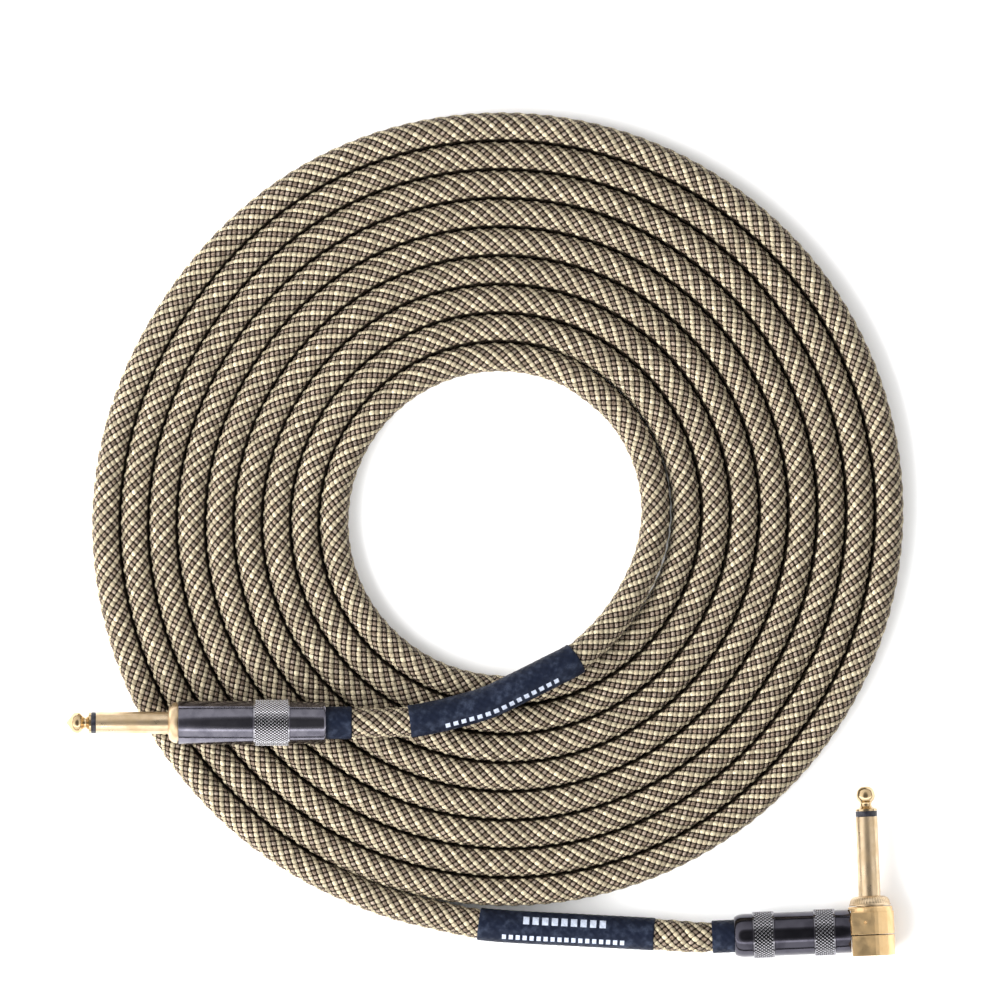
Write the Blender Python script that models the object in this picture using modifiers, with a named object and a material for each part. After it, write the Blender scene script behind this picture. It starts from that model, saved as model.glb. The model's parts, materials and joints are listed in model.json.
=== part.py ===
"""Braided instrument cable: a flat coil with a straight plug on its inner end and a right-angle
plug on its outer end. Sizes are in millimetres until MM turns them into metres. +Z is up, the
cable lies on z = 0, and the origin is under the middle of the whole object."""
import math

import bmesh
import bpy
from mathutils import Vector

MM = 0.001
GAP = 0.3

# Cable and coil
CORD_RADIUS = 4.1
COIL_CENTRE = (3.45, 5.32)
TURN_PITCH = 8.32
INNER_TURN_RADIUS = 46.0
TURNS_ACROSS = 8
PRESSED_IN = 0.008
DENT_DEPTH = 0.16
DENT_ANGLE = math.radians(213)
DENT_SPREAD = math.radians(22)
STEP_SINES = (0.025, 0.02)
STEP_COSINES = (-0.1965, -0.039)
COIL_START = math.radians(107.5 - 360)
COIL_END = math.radians(7 * 360 + 300)
OUTER_EDGE_POINTS = 96
INNER_EDGE_POINTS = 48
SPAN_STEPS = 2

# Both plugs
PIN_RADIUS = 3.175
PIN_BORE = 2.4
ROD_RADIUS = 1.1
TUBE_OUTER = 2.1
TUBE_INNER = 1.4
THREAD_RADIUS = 5.3
BOSS_RADIUS = 3.2
NECK_BORE = 2.6
SHELL_BORE = 5.7
SHELL_REAR_HOLE = 4.95
SHELL_REAR_WALL = 2.0
KNURL_RADIUS = 6.6
LINER_OUTER = 5.4
LINER_INNER = 5.0
SLEEVE_INNER = CORD_RADIUS + GAP
SLEEVE_WALL = 0.3
JACKET_RADIUS = 3.2
CORE_RADIUS = 1.4
WIRE_RADIUS = 0.5
DRAIN_RADIUS = 0.55
PIN_EDGE = 0.15
RING_INSET = 0.05
THREAD_CHAMFER = 0.3
SHELL_EDGE = 0.2
SLEEVE_LIFT = 0.05
CLAMP_OUTER = 4.45
CLAMP_THICKNESS = 0.6
STRAP_OUTER = 4.45
STRAP_INNER = 3.9
STRAP_HALF_WIDTH = 1.3
STRAP_OVERLAP = 4.0
SADDLE_INNER = 3.6
SADDLE_OUTER = 4.25
SADDLE_OPENING = 50
LUG_TAB_INNER = 1.6
LUG_TAB_OUTER = 2.2
LUG_HALF_WIDTH = 1.1
DRAIN_ROUTE = ((-2.3, GAP), (-2.3, 0.7), (-2.9, 2.0), (-3.05, 3.2))
SHIELD_SOLDER = (0.5, 0.9, 0.9)
SHIELD_SOLDER_AHEAD = 1.2

# Tips: a radius and a depth behind the tip's end at each point
TIP_LENGTH = 6.9
TIP_EDGE = 0.3
SHARP_NOSE = [
    (0, 0),
    (0.4, 0.18),
    (1.07, 0.72),
    (1.8, 1.22),
    (2.4, 1.7),
    (2.82, 2.17),
    (3.02, 2.7),
    (3.08, 3.25),
    (2.96, 3.85),
    (2.32, 4.55),
    (1.8, 5.02),
    (1.66, 5.4),
    (1.82, 5.82),
    (2.5, 6.2),
    (3.05, 6.5),
]
BLUNT_NOSE = [
    (0, 0),
    (0.7, 0.03),
    (1.2, 0.15),
    (1.9, 0.6),
    (2.35, 1.15),
    (2.6, 1.9),
    (2.75, 2.7),
    (2.7, 3.3),
    (2.4, 4.0),
    (1.8, 4.6),
    (1.65, 5.2),
    (1.75, 5.8),
    (2.3, 6.2),
    (3.0, 6.5),
]

# Straight plug: z runs from the front face of its shell towards the tip
STRAIGHT_FACE = (-87.99, -53.74, 15.2)
STRAIGHT_TIP = 32.2
STRAIGHT_SHELL = 42.3
STRAIGHT_RADIUS = 6.28
STRAIGHT_REAR_RADIUS = 6.0
STRAIGHT_KNURL = (-21.6, -31.9)
STRAIGHT_BOOT = (-38.5, -49.5)
STRAIGHT_CORD_END = -41.0
STRAIGHT_RING = 1.3
STRAIGHT_THREAD_END = -5.5
STRAIGHT_BOSS_END = -7.0
STRAIGHT_ROD_END = -9.4
DOME_TOP = 2.85
DOME_NECK = 3.7
STRAIGHT_WASHER_RADIUS = 3.0
WASHER_THICKNESS = 1.0
STRAIGHT_LUG_RADIUS = 2.3
STRAIGHT_LUG = (-8.6, -9.2)
STRAIGHT_TAB_END = -15.5
REAR_CHAMFER = 0.5
REAR_CHAMFER_LENGTH = 0.6
STRAIGHT_LINER_FRONT = -8.0
STRAIGHT_CLAMP = -5.8
STRAIGHT_SADDLE = (-24.5, -30.5)
STRAIGHT_JACKET = -22.3
STRAIGHT_CORE = -17.1
STRAIGHT_DRAIN = -16.8
STRAIGHT_WIRE = ((0, 0, -16.8), (0, 0, -16.3), (0.75, 0, -14.2), (0.75, 0, -11.3))
STRAIGHT_SOLDER = (0.55, 0.9, 0.6)
STRAIGHT_SOLDER_AT = (0.75, 0, -10.35)

# Right-angle plug: x runs along its shell, y along its pin, from where the two axes cross
ELBOW = (110.89, -113.46, 6.7)
ELBOW_TILT = math.radians(2.34)
ELBOW_FACE = -5.8
ANGLE_TIP = 41.5
ANGLE_SHELL = 33.46
ANGLE_RADIUS = 6.25
ANGLE_KNURL_RADIUS = 6.7
ANGLE_KNURLS = ((-4.56, -10.56), (-22.06, -28.1))
ANGLE_BOOT = (-30.5, -39.7)
ANGLE_CORD_END = -32.2
BLOCK_HALF = 6.65
BLOCK_LEFT = -5.5
BLOCK_TOP = 5.4
BLOCK_SEAM = -1.0
SEAM_LIP = 0.05
BLOCK_BOTTOM = -7.2
BLOCK_WALL = 1.25
COLLAR_RADIUS = 5.95
COLLAR_BASE = 7.2
CONE_TOP = 9.87
CONE = ((3.75, CONE_TOP), (5.0, 8.9), (5.7, 7.9), (COLLAR_RADIUS, 7.6))
ANGLE_RING = 1.5
SPIGOT_RADIUS = 3.9
SPIGOT_END = 3.9
SPIGOT_HOLE = 4.2
ANGLE_ROD_END = 1.0
ANGLE_WASHER_RADIUS = 3.4
ANGLE_WASHER = (3.6, 2.6)
ANGLE_LUG_RADIUS = 2.4
ANGLE_LUG = (2.3, 1.7)
ANGLE_TAB_END = -2.5
BLOCK_ROUND_AT = 0.1
BLOCK_EDGE = 0.35
PIN_BOSS_RADIUS = 6.4
PIN_BOSS_ROOT = 0.6
PIN_BOSS_EDGE = 0.3
SHELL_ROOM = 0.28
NECK_ROOT = 0.25
BEYOND = 14.0
NECK_THREAD_END = -4.5
NECK_BOSS_END = -6.2
CHAMBER_TOP = 3.9
CAP_FLOOR = 1.4
DIMPLE = (0.4, 0.3, 0.4)
DIMPLE_AT = (-1.6, 2.4)
REAR_ROUNDING = 3.2
REAR_LIP = 0.15
ANGLE_LINER_FRONT = -7.0
ANGLE_CLAMP = -4.8
ANGLE_SADDLE = (-17.0, -23.0)
ANGLE_JACKET = -14.5
ANGLE_CORE = 2.0
ANGLE_DRAIN = -10.2
ANGLE_WIRE = ((0, 0, 2.3), (0, 0, 4.0), (0, 0, 5.9))
ANGLE_SOLDER = (0.8, 0.7, 0.4)
ANGLE_SOLDER_AT = (0, 0, 6.65)

# Leads: the last points before each plug lie on its axis
LEAD_TURN_IN = 3.5
LEAD_AT_BOOT = 0.7
STRAIGHT_LEAD_MIDDLE = -46.0
ANGLE_LEAD_MIDDLE = -36.2

OUTER_ROUTE = [
    (-26.7, -105.9, 4.1),
    (-14.1, -109.1, 4.3),
    (-1.7, -111.6, 4.8),
    (10.9, -112.6, 4.85),
    (23.6, -113.25, 4.9),
    (36.2, -113.9, 5.0),
    (48.9, -114.6, 5.25),
    (57.0, -115.2, 6.1),
]
OUTER_LABEL = (2, 6)
INNER_ROUTE = [
    (30.65, 42.5, 4.1),
    (34.3, 39.6, 4.12),
    (37.8, 36.25, 4.2),
    (44.2, 27.0, 4.6),
    (48.0, 16.45, 5.2),
    (49.0, 5.3, 5.95),
    (47.1, -5.6, 6.8),
    (42.6, -16.0, 8.0),
    (35.3, -26.6, 9.8),
    (30.8, -31.2, 11.0),
    (26.15, -35.2, 12.1),
    (18.4, -39.3, 13.0),
    (10.05, -43.5, 13.3),
    (0.55, -48.0, 13.3),
    (-7.2, -50.3, 13.3),
    (-14.65, -52.15, 13.35),
    (-22.2, -53.4, 13.5),
    (-28.6, -53.7, 14.3),
]
INNER_LABEL = (10, 16)

GOLD = ((0.78, 0.58, 0.30), 0.25, 1.0)
GUNMETAL = ((0.10, 0.10, 0.11), 0.28, 1.0)
BLACK_PLASTIC = ((0.02, 0.02, 0.025), 0.5, 0.0)
HEAT_SHRINK = ((0.03, 0.035, 0.055), 0.6, 0.0)
BRAID = ((0.45, 0.40, 0.29), 0.9, 0.0)
BRASS = ((0.72, 0.58, 0.30), 0.4, 1.0)
COPPER = ((0.75, 0.38, 0.22), 0.4, 1.0)
SOLDER = ((0.62, 0.63, 0.65), 0.35, 1.0)
JACKET = ((0.03, 0.03, 0.03), 0.6, 0.0)
CLEAR_CORE = ((0.80, 0.80, 0.76), 0.5, 0.0)
CLEAR_LINER = ((0.70, 0.72, 0.74), 0.3, 0.0)
FIBRE = ((0.35, 0.16, 0.09), 0.8, 0.0)


# ---------------------------------------------------------------- tools

def new_collection(name):
    collection = bpy.data.collections.new(name)
    bpy.context.scene.collection.children.link(collection)
    return collection


def in_metres(point):
    return Vector(point) * MM


def principled(name, look):
    colour, roughness, metallic = look
    material = bpy.data.materials.new(name)
    material.use_nodes = True
    shader = material.node_tree.nodes["Principled BSDF"]
    shader.inputs["Base Color"].default_value = (*colour, 1.0)
    shader.inputs["Roughness"].default_value = roughness
    shader.inputs["Metallic"].default_value = metallic
    return material


def axis_empty(name, parent, location, rotation):
    """An empty whose Z is a plug's axis; its pieces are parented to it."""
    empty = bpy.data.objects.new(name, None)
    empty.parent = parent
    empty.location = in_metres(location)
    empty.rotation_euler = rotation
    PARTS.objects.link(empty)
    return empty


def link(name, data, parent=None, location=(0, 0, 0)):
    obj = bpy.data.objects.new(name, data)
    obj.parent = parent
    obj.location = in_metres(location)
    PARTS.objects.link(obj)
    return obj


def as_cutter(obj):
    PARTS.objects.unlink(obj)
    CUTTERS.objects.link(obj)
    obj.hide_render = True
    obj.display_type = "WIRE"
    return obj


def boolean(obj, other, operation):
    as_cutter(other)
    modifier = obj.modifiers.new(other.name, "BOOLEAN")
    modifier.object = other
    modifier.operation = operation
    modifier.solver = "EXACT"


def meshed(obj):
    """The object's evaluated mesh, with a curve's loose caps welded."""
    bpy.context.view_layer.update()
    depsgraph = bpy.context.evaluated_depsgraph_get()
    mesh = bpy.data.meshes.new_from_object(obj.evaluated_get(depsgraph))
    work = bmesh.new()
    work.from_mesh(mesh)
    bmesh.ops.remove_doubles(work, verts=work.verts, dist=0.001 * MM)
    work.to_mesh(mesh)
    work.free()
    return mesh


def curve_to_mesh(curve):
    name, parent, location = curve.name, curve.parent, curve.location / MM
    mesh = meshed(curve)
    bpy.data.objects.remove(curve)
    return link(name, mesh, parent, location)


def finish(obj, look, sharp=35):
    """Apply the modifiers, shade smooth with crisp edges and give the object its own material."""
    material = principled(obj.name, look)
    if obj.type == "CURVE":
        obj.data.materials.append(material)
        return obj
    obj.data = meshed(obj)
    obj.modifiers.clear()
    obj.data.shade_smooth()
    obj.data.set_sharp_from_angle(angle=math.radians(sharp))
    obj.data.materials.clear()
    obj.data.materials.append(material)
    return obj


def turned(name, profile, parent, steps, location=(0, 0, 0)):
    """A profile of (radius, height) turned about Z. It runs down its outer side; a profile that
    touches the axis at both ends is open, any other is closed back up its bore."""
    mesh = bpy.data.meshes.new(name)
    edges = [(i, i + 1) for i in range(len(profile) - 1)]
    if profile[0][0] > 0:
        edges.append((len(profile) - 1, 0))
    mesh.from_pydata([(r * MM, 0, z * MM) for r, z in profile], edges, [])
    obj = link(name, mesh, parent, location)
    screw = obj.modifiers.new("turn", "SCREW")
    screw.steps = steps
    screw.render_steps = steps
    screw.use_merge_vertices = True
    screw.merge_threshold = 0.00001
    return obj


def ring(name, inner, outer, top, bottom, parent, steps):
    profile = [(outer, top), (outer, bottom), (inner, bottom), (inner, top)]
    return turned(name, profile, parent, steps)


def rod(name, radius, top, bottom, parent, steps, edge=0.15):
    profile = [(0, top), (radius - edge, top), (radius, top - edge),
               (radius, bottom + edge), (radius - edge, bottom), (0, bottom)]
    return turned(name, profile, parent, steps)


def box(name, low, high, parent):
    centre = [(a + b) / 2 for a, b in zip(low, high)]
    size = [b - a for a, b in zip(low, high)]
    mesh = bpy.data.meshes.new(name)
    work = bmesh.new()
    bmesh.ops.create_cube(work, size=1.0)
    bmesh.ops.scale(work, vec=in_metres(size), verts=work.verts)
    work.to_mesh(mesh)
    work.free()
    return link(name, mesh, parent, centre)


def bead(name, radii, centre, parent):
    """A rounded drop of solder."""
    mesh = bpy.data.meshes.new(name)
    work = bmesh.new()
    bmesh.ops.create_uvsphere(work, u_segments=12, v_segments=8, radius=1.0)
    bmesh.ops.scale(work, vec=in_metres(radii), verts=work.verts)
    work.to_mesh(mesh)
    work.free()
    return link(name, mesh, parent, centre)


def spline_of(curve, points, closed):
    spline = curve.splines.new("POLY")
    spline.points.add(len(points) - 1)
    for target, point in zip(spline.points, points):
        target.co = (*in_metres(point), 1.0)
    spline.use_cyclic_u = closed


def plate(name, outlines, half_thickness, parent, location=(0, 0, 0), rounding=0.0):
    """Flat outlines in XY with a thickness along Z; a rounding swells the outline by its radius."""
    curve = bpy.data.curves.new(name, "CURVE")
    curve.dimensions = "2D"
    curve.fill_mode = "BOTH"
    curve.extrude = half_thickness * MM
    curve.bevel_depth = rounding * MM
    curve.bevel_resolution = 3
    for outline in outlines:
        spline_of(curve, [(x, y, 0) for x, y in outline], True)
    return curve_to_mesh(link(name, curve, parent, location))


def tube(name, points, radius, parent=None, resolution=4, capped=True):
    curve = bpy.data.curves.new(name, "CURVE")
    curve.dimensions = "3D"
    curve.bevel_depth = radius * MM
    curve.bevel_resolution = resolution
    curve.use_fill_caps = capped
    spline_of(curve, points, False)
    return link(name, curve, parent)


def arc(centre, radius, start, end, steps):
    """Points on an arc, from angle start to angle end in degrees."""
    angles = [math.radians(start + (end - start) * i / steps) for i in range(steps + 1)]
    return [(centre[0] + radius * math.cos(a), centre[1] + radius * math.sin(a)) for a in angles]


def quarter_round(inner, outer, top, bottom, steps):
    """A convex quarter ellipse from (inner, top) out and down to (outer, bottom)."""
    angles = [math.pi / 2 * i / steps for i in range(steps + 1)]
    return [(inner + (outer - inner) * math.sin(a), bottom + (top - bottom) * math.cos(a))
            for a in angles]


# ---------------------------------------------------------------- coil and leads

def inward_steps(angle):
    """How many pitches the spiral has stepped in: it steps mostly through its lower half."""
    steps = angle / (2 * math.pi)
    for wave, (sine, cosine) in enumerate(zip(STEP_SINES, STEP_COSINES), start=1):
        steps += sine * math.sin(wave * angle) + cosine * (math.cos(wave * angle) - 1)
    return steps


def pitch_at(angle):
    """The turns are pressed a little closer on the left, most of all at the dent."""
    off_dent = math.remainder(angle - DENT_ANGLE, 2 * math.pi)
    dent = DENT_DEPTH * math.exp(-((off_dent / DENT_SPREAD) ** 2))
    return TURN_PITCH * (1 - PRESSED_IN * (1 - math.cos(angle))) - dent


def coil_point(angle):
    """The cord's centre at this angle, clockwise from +X seen from above."""
    radius = INNER_TURN_RADIUS + pitch_at(angle) * (TURNS_ACROSS - inward_steps(angle))
    x = COIL_CENTRE[0] + radius * math.cos(angle)
    return (x, COIL_CENTRE[1] - radius * math.sin(angle))


def coil_edge(start, count):
    """One turn of the spiral's centre line, whose ends are a pitch apart."""
    return [coil_point(start + 2 * math.pi * i / count) for i in range(count + 1)]


def cable_coil():
    outline = coil_edge(COIL_START, OUTER_EDGE_POINTS)
    opening = coil_edge(COIL_END - 2 * math.pi, INNER_EDGE_POINTS)
    coil = plate("cable_coil", [outline, opening], 0.0, None, (0, 0, CORD_RADIUS), CORD_RADIUS)
    finish(coil, BRAID)


def smooth_route(points):
    """Points along a smooth curve through the route's own points, SPAN_STEPS to a span."""
    points = [Vector(p) for p in points]
    spans = [(b - a).length for a, b in zip(points, points[1:])]
    slopes = [(b - a) / s for a, b, s in zip(points, points[1:], spans)]
    tangents = [slopes[0]]
    for i in range(1, len(spans)):
        before, after = spans[i - 1], spans[i]
        tangents.append((slopes[i - 1] * after + slopes[i] * before) / (before + after))
    tangents.append(slopes[-1])
    route = []
    for i, span in enumerate(spans):
        for k in range(SPAN_STEPS):
            t = k / SPAN_STEPS
            route.append(points[i] * (2 * t**3 - 3 * t**2 + 1)
                         + tangents[i] * span * (t**3 - 2 * t**2 + t)
                         + points[i + 1] * (3 * t**2 - 2 * t**3)
                         + tangents[i + 1] * span * (t**3 - t**2))
    route.append(points[-1])
    return route


def label_sleeve(name, route, ends):
    """A shrunk-on sleeve around the lead, between two of its route's points."""
    stretch = route[ends[0] * SPAN_STEPS:ends[1] * SPAN_STEPS + 1]
    sleeve = curve_to_mesh(tube(name, stretch, SLEEVE_INNER, resolution=6, capped=False))
    wall = sleeve.modifiers.new("wall", "SOLIDIFY")
    wall.thickness = SLEEVE_WALL * MM
    wall.offset = 1.0
    finish(sleeve, HEAT_SHRINK)


def elbow_point(x, y=0.0):
    """A point of the right-angle plug's own plane, in the world."""
    c, s = math.cos(ELBOW_TILT), math.sin(ELBOW_TILT)
    return (ELBOW[0] + x * c - y * s, ELBOW[1] + x * s + y * c, ELBOW[2])


def leads():
    """The two stretches that leave the coil; each runs straight into its plug."""
    turn_in, at_boot = STRAIGHT_BOOT[1] - LEAD_TURN_IN, STRAIGHT_BOOT[1] - LEAD_AT_BOOT
    straight_in = [turn_in, at_boot, STRAIGHT_LEAD_MIDDLE, STRAIGHT_CORD_END]
    face = STRAIGHT_FACE
    inner = INNER_ROUTE + [(face[0] - z, face[1], face[2]) for z in straight_in]
    turn_in, at_boot = ANGLE_BOOT[1] - LEAD_TURN_IN, ANGLE_BOOT[1] - LEAD_AT_BOOT
    angle_in = [turn_in, at_boot, ANGLE_LEAD_MIDDLE, ANGLE_CORD_END]
    outer = OUTER_ROUTE + [elbow_point(ELBOW_FACE + z) for z in angle_in]
    inner, outer = smooth_route(inner), smooth_route(outer)
    finish(tube("inner_lead", inner, CORD_RADIUS), BRAID)
    finish(tube("outer_lead", outer, CORD_RADIUS), BRAID)
    label_sleeve("inner_label_sleeve", inner, INNER_LABEL)
    label_sleeve("outer_label_sleeve", outer, OUTER_LABEL)


# ---------------------------------------------------------------- pieces both plugs have

def tip(name, nose, end, rod_end, parent):
    """The ball tip, its neck and flange, and the rod that runs through the pin."""
    flange = end - TIP_LENGTH
    profile = [(radius, end - depth) for radius, depth in nose]
    profile += [(PIN_RADIUS, flange + TIP_EDGE), (PIN_RADIUS, flange)]
    profile += [(ROD_RADIUS, flange), (ROD_RADIUS, rod_end), (0, rod_end)]
    finish(turned(name, profile, parent, 32), GOLD, 50)


def tip_insulator(name, tip_end, ring_height, bottom, parent):
    """The black ring behind the tip, and its tube down the pin's bore. Returns the pin's top."""
    top = tip_end - TIP_LENGTH - GAP
    ring_radius = PIN_RADIUS - RING_INSET
    profile = [(ring_radius, top), (ring_radius, top - ring_height)]
    profile += [(TUBE_OUTER, top - ring_height), (TUBE_OUTER, bottom)]
    profile += [(TUBE_INNER, bottom), (TUBE_INNER, top)]
    finish(turned(name, profile, parent, 28), BLACK_PLASTIC)
    return top - ring_height - GAP


def pin_front(top):
    """The chamfered front end of a pin's profile."""
    return [(PIN_RADIUS - PIN_EDGE, top), (PIN_RADIUS, top - PIN_EDGE)]


def shell_and_liner(prefix, shell_profile, length, liner_front, parent):
    """The screwed-on shell and the insulating liner inside it, which slide back together."""
    inside = [(SHELL_REAR_HOLE, -length), (SHELL_REAR_HOLE, SHELL_REAR_WALL - length)]
    inside += [(SHELL_BORE, SHELL_REAR_WALL - length), (SHELL_BORE, 0)]
    finish(turned(prefix + "_shell", shell_profile + inside, parent, 40), GUNMETAL)
    rear = SHELL_REAR_WALL + GAP - length
    liner = ring(prefix + "_liner", LINER_INNER, LINER_OUTER, liner_front, rear, parent, 28)
    finish(liner, CLEAR_LINER)


def boot(name, ends, parent):
    outer = SLEEVE_INNER + SLEEVE_WALL - SLEEVE_LIFT
    finish(ring(name, SLEEVE_INNER, outer, ends[0], ends[1], parent, 28), HEAT_SHRINK)


def ground_clamp(name, front, saddle, parent):
    """A ring on the boss behind the thread, a strap along the cable and a crimped saddle."""
    rear = front - CLAMP_THICKNESS
    clamp = ring(name, BOSS_RADIUS + GAP, CLAMP_OUTER, front, rear, parent, 28)
    low = (-STRAP_OUTER, -STRAP_HALF_WIDTH, saddle[1] + STRAP_OVERLAP)
    high = (-STRAP_INNER, STRAP_HALF_WIDTH, front - CLAMP_THICKNESS / 2)
    boolean(clamp, box(name + "_strap", low, high, parent), "UNION")
    outline = arc((0, 0), SADDLE_OUTER, SADDLE_OPENING, 360 - SADDLE_OPENING, 18)
    outline += arc((0, 0), SADDLE_INNER, 360 - SADDLE_OPENING, SADDLE_OPENING, 18)
    middle = (0, 0, (saddle[0] + saddle[1]) / 2)
    half = (saddle[0] - saddle[1]) / 2
    boolean(clamp, plate(name + "_saddle", [outline], half, parent, middle), "UNION")
    finish(clamp, BRASS)


def tip_lug(name, radius, ends, tab_end, parent):
    """A washer on the end of the tip's rod, with a tab for the core wire."""
    lug = ring(name, TUBE_INNER, radius, ends[0], ends[1], parent, 20)
    tab = box(name + "_tab", (LUG_TAB_INNER, -LUG_HALF_WIDTH, tab_end),
              (LUG_TAB_OUTER, LUG_HALF_WIDTH, (ends[0] + ends[1]) / 2), parent)
    boolean(lug, tab, "UNION")
    finish(lug, BRASS)


def cable_end(prefix, front, cord_end, core_front, drain_front, parent):
    """The stripped cable: jacket, core insulation, and the shield's twisted drain wire."""
    rear = cord_end + GAP
    finish(rod(prefix + "_jacket_end", JACKET_RADIUS, front, rear, parent, 24), JACKET)
    core = rod(prefix + "_core_insulation", CORE_RADIUS, core_front, front + GAP, parent, 16)
    finish(core, CLEAR_CORE)
    route = [(x, 0, front + ahead) for x, ahead in DRAIN_ROUTE]
    side = route[-1][0]
    route.append((side, 0, drain_front))
    drain = curve_to_mesh(tube(prefix + "_shield_drain", route, DRAIN_RADIUS, parent, 2))
    finish(drain, COPPER)
    centre = (side, 0, drain_front + SHIELD_SOLDER_AHEAD)
    finish(bead(prefix + "_shield_solder", SHIELD_SOLDER, centre, parent), SOLDER)


def core_wire(prefix, route, solder, solder_at, parent):
    """The bare end of the core, and the drop of solder that holds it to the lug."""
    wire = curve_to_mesh(tube(prefix + "_core_wire", route, WIRE_RADIUS, parent, 2))
    finish(wire, COPPER)
    finish(bead(prefix + "_core_solder", solder, solder_at, parent), SOLDER)


# ---------------------------------------------------------------- straight plug

def straight_body(pin_top, parent):
    """The pin, the dome in front of the shell, the thread the shell screws on, and a boss."""
    profile = pin_front(pin_top) + [(PIN_RADIUS, DOME_TOP)]
    profile += quarter_round(DOME_NECK, COLLAR_RADIUS, DOME_TOP, GAP, 6)
    profile += [(THREAD_RADIUS, GAP), (THREAD_RADIUS, STRAIGHT_THREAD_END + THREAD_CHAMFER)]
    profile += [(THREAD_RADIUS - THREAD_CHAMFER, STRAIGHT_THREAD_END)]
    profile += [(BOSS_RADIUS, STRAIGHT_THREAD_END), (BOSS_RADIUS, STRAIGHT_BOSS_END)]
    profile += [(PIN_BORE, STRAIGHT_BOSS_END), (PIN_BORE, pin_top)]
    finish(turned("straight_body", profile, parent, 40), GOLD)


def straight_shell_profile():
    front, rear = STRAIGHT_KNURL
    profile = [(STRAIGHT_RADIUS - SHELL_EDGE, 0), (STRAIGHT_RADIUS, -SHELL_EDGE)]
    profile += [(STRAIGHT_RADIUS, front + SHELL_EDGE), (KNURL_RADIUS, front)]
    profile += [(KNURL_RADIUS, rear), (STRAIGHT_REAR_RADIUS + SHELL_EDGE / 2, rear - SHELL_EDGE)]
    profile += [(STRAIGHT_REAR_RADIUS, REAR_CHAMFER_LENGTH - STRAIGHT_SHELL)]
    return profile + [(STRAIGHT_REAR_RADIUS - REAR_CHAMFER, -STRAIGHT_SHELL)]


def straight_plug():
    quarter_turn = math.radians(-90)
    axis = axis_empty("straight_axis", None, STRAIGHT_FACE, (0, quarter_turn, 0))
    tip("straight_tip", SHARP_NOSE, STRAIGHT_TIP, STRAIGHT_ROD_END, axis)
    pin_top = tip_insulator("straight_tip_insulator", STRAIGHT_TIP, STRAIGHT_RING,
                            STRAIGHT_BOSS_END, axis)
    straight_body(pin_top, axis)
    front = STRAIGHT_BOSS_END - GAP
    washer = ring("straight_washer", TUBE_INNER, STRAIGHT_WASHER_RADIUS, front,
                  front - WASHER_THICKNESS, axis, 24)
    finish(washer, FIBRE)
    tip_lug("straight_tip_lug", STRAIGHT_LUG_RADIUS, STRAIGHT_LUG, STRAIGHT_TAB_END, axis)
    shell_and_liner("straight", straight_shell_profile(), STRAIGHT_SHELL, STRAIGHT_LINER_FRONT, axis)
    boot("straight_boot", STRAIGHT_BOOT, axis)
    ground_clamp("straight_ground_clamp", STRAIGHT_CLAMP, STRAIGHT_SADDLE, axis)
    cable_end("straight", STRAIGHT_JACKET, STRAIGHT_CORD_END, STRAIGHT_CORE, STRAIGHT_DRAIN, axis)
    core_wire("straight", STRAIGHT_WIRE, STRAIGHT_SOLDER, STRAIGHT_SOLDER_AT, axis)


# ---------------------------------------------------------------- right-angle plug

def block_outline(inset, left):
    """A D in the pin's own XY: square towards the shell, round about the pin."""
    half = BLOCK_HALF - inset
    return [(left, -half)] + arc((BLOCK_ROUND_AT, 0), half, -90, 90, 20) + [(left, half)]


def bevelled(obj):
    bevel = obj.modifiers.new("edge", "BEVEL")
    bevel.width = BLOCK_EDGE * MM
    bevel.segments = 2
    bevel.limit_method = "ANGLE"
    bevel.angle_limit = math.radians(40)
    return obj


def block(name, top, bottom, inset, left, parent):
    middle, half = (top + bottom) / 2, (top - bottom) / 2
    return plate(name, [block_outline(inset, left)], half, parent, (0, 0, middle))


def elbow_neck(shell_axis):
    """The threaded neck that the shell screws on, and the boss that carries the clamp."""
    root = NECK_ROOT - (ELBOW_FACE - BLOCK_LEFT)
    profile = [(0, root), (THREAD_RADIUS, root), (THREAD_RADIUS, NECK_THREAD_END + THREAD_CHAMFER)]
    profile += [(THREAD_RADIUS - THREAD_CHAMFER, NECK_THREAD_END), (BOSS_RADIUS, NECK_THREAD_END)]
    profile += [(BOSS_RADIUS, NECK_BOSS_END), (0, NECK_BOSS_END)]
    return turned("angle_neck", profile, shell_axis, 40)


def elbow_body(pin_axis, shell_axis):
    """The elbow's upper half: solder chamber, round boss for the pin, threaded neck."""
    body = bevelled(block("angle_body", BLOCK_TOP, BLOCK_SEAM, 0, BLOCK_LEFT, pin_axis))
    boss = rod("angle_boss", PIN_BOSS_RADIUS, COLLAR_BASE - GAP, BLOCK_TOP - PIN_BOSS_ROOT,
               pin_axis, 40, PIN_BOSS_EDGE)
    boolean(body, boss, "UNION")
    room = rod("angle_shell_room", KNURL_RADIUS, SHELL_ROOM, -BEYOND, shell_axis, 40)
    boolean(body, room, "DIFFERENCE")
    boolean(body, elbow_neck(shell_axis), "UNION")
    cap_room = box("angle_cap_room", (ELBOW_FACE, -BEYOND, -BEYOND),
                   (BEYOND, BEYOND, BLOCK_SEAM - SEAM_LIP), pin_axis)
    boolean(body, cap_room, "DIFFERENCE")
    chamber = block("angle_chamber", CHAMBER_TOP, -BEYOND, BLOCK_WALL,
                    BLOCK_LEFT + BLOCK_WALL, pin_axis)
    boolean(body, chamber, "DIFFERENCE")
    hole = rod("angle_pin_hole", SPIGOT_HOLE, BEYOND, CHAMBER_TOP - BLOCK_WALL, pin_axis, 32)
    boolean(body, hole, "DIFFERENCE")
    bore = rod("angle_neck_bore", NECK_BORE, 2 * BLOCK_WALL, -BEYOND, shell_axis, 28)
    boolean(body, bore, "DIFFERENCE")
    dimple = bead("angle_dimple", DIMPLE, (DIMPLE_AT[0], -BLOCK_HALF, DIMPLE_AT[1]), pin_axis)
    boolean(body, dimple, "DIFFERENCE")
    finish(body, GOLD)


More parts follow.
